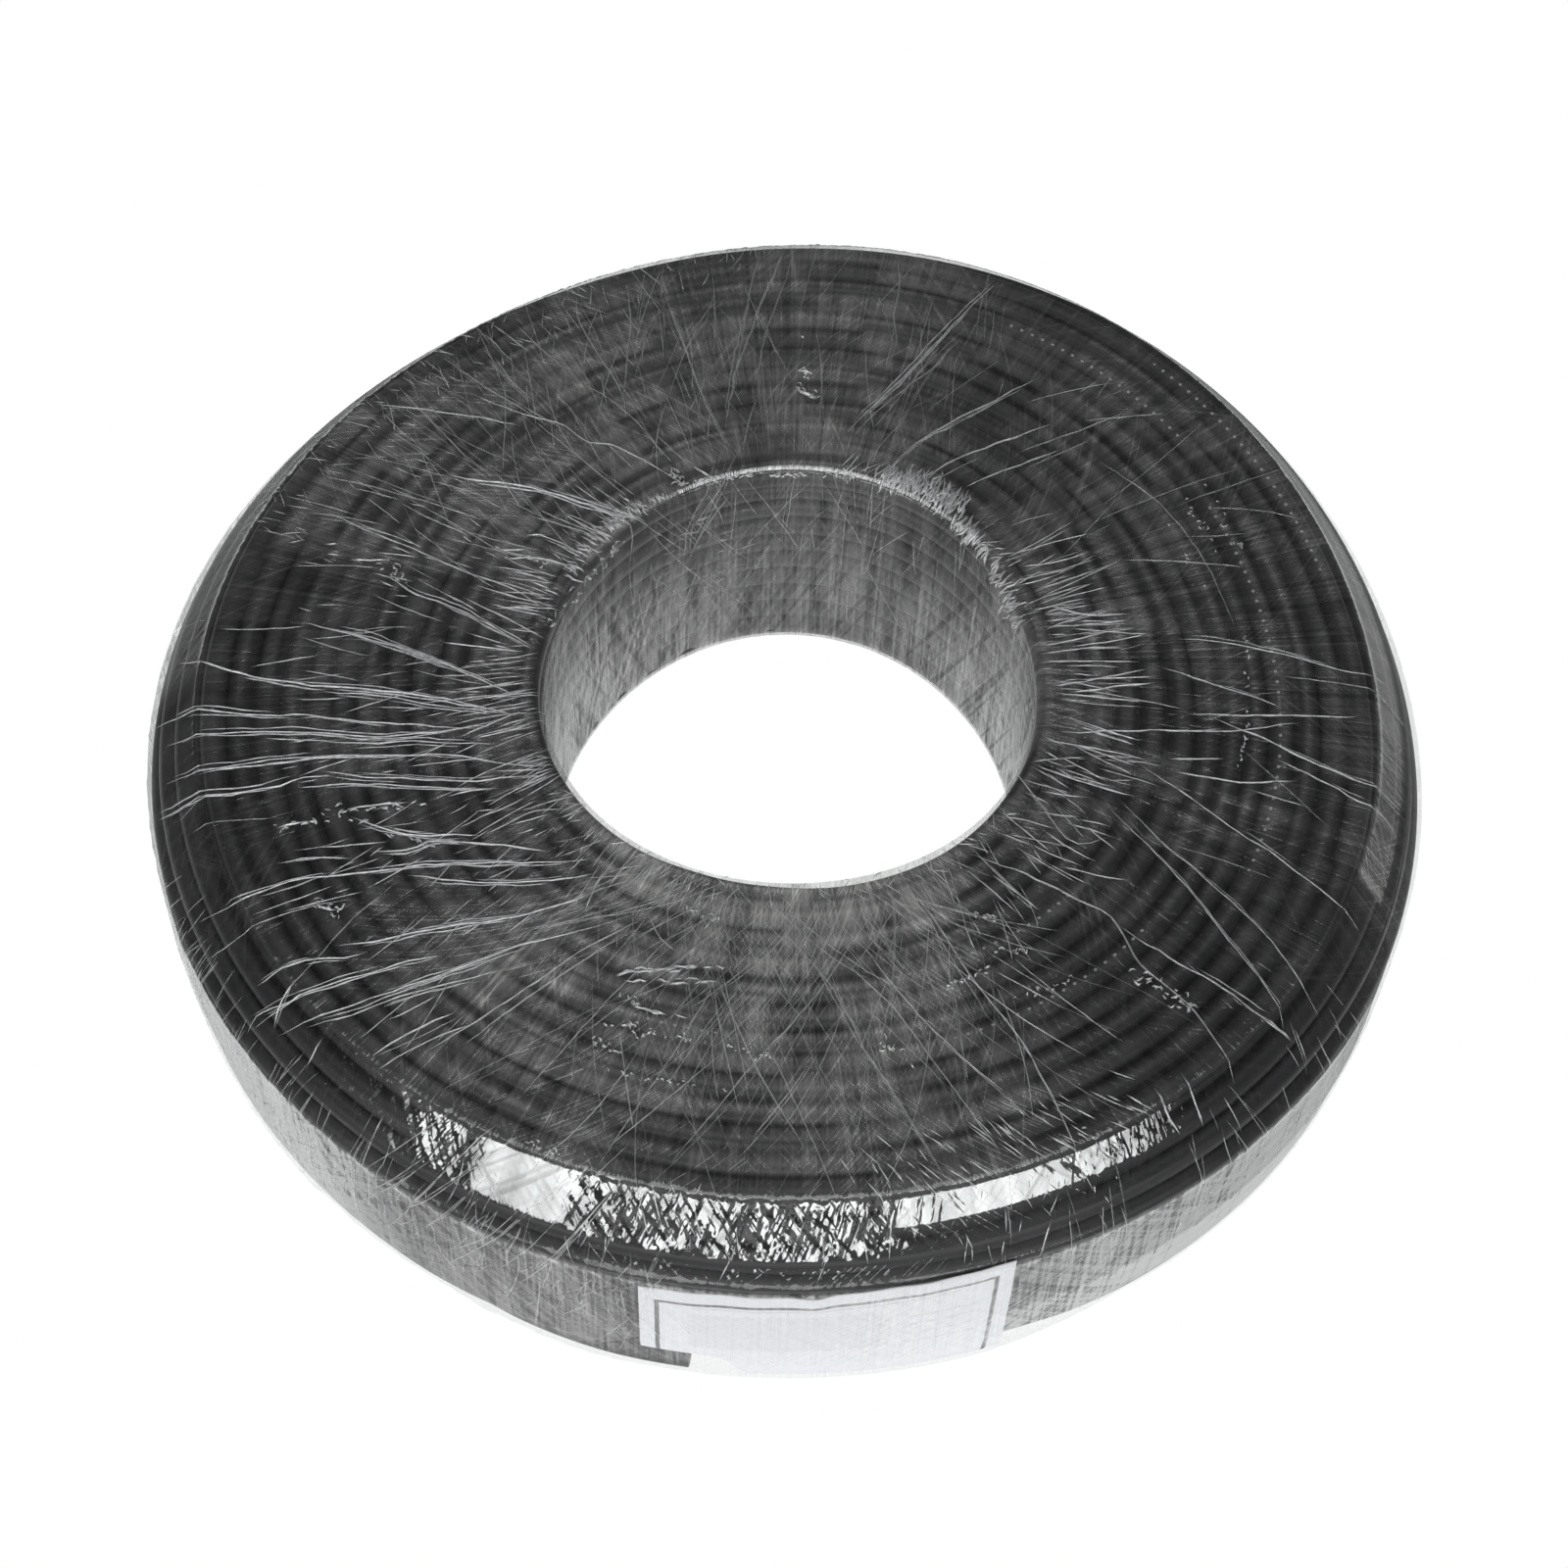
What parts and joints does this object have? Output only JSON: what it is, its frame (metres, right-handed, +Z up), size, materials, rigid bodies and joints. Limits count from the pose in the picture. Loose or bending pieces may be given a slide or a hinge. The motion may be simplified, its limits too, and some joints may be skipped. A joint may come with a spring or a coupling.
{
  "type": "coil of electrical wire",
  "caption": "Ring-shaped coil of black flexible electrical cable lying flat, wrapped through its bore in clear stretch film, with a plain white paper label on its outside.",
  "frame": {"origin": "centre of the outline on the level surface that the coil lies on", "axes": "+Z up along the bore, -Y towards the paper label, +X to the right as seen from the label's side"},
  "size_m": [0.31, 0.31, 0.0694],
  "materials": {
    "pvc_jacket": "satin black flexible PVC, smooth, with a soft sheen",
    "label_paper": "white self-adhesive paper, slightly wavy, with a thin grey border line",
    "clear_film": "clear glossy polyethylene stretch film in many clinging laps, hazy, with fine white stretch wrinkles"
  },
  "bodies": {
    "root": {"cable_coil": "pvc_jacket", "paper_label": "label_paper", "stretch_film": "clear_film"}
  },
  "joints": []
}
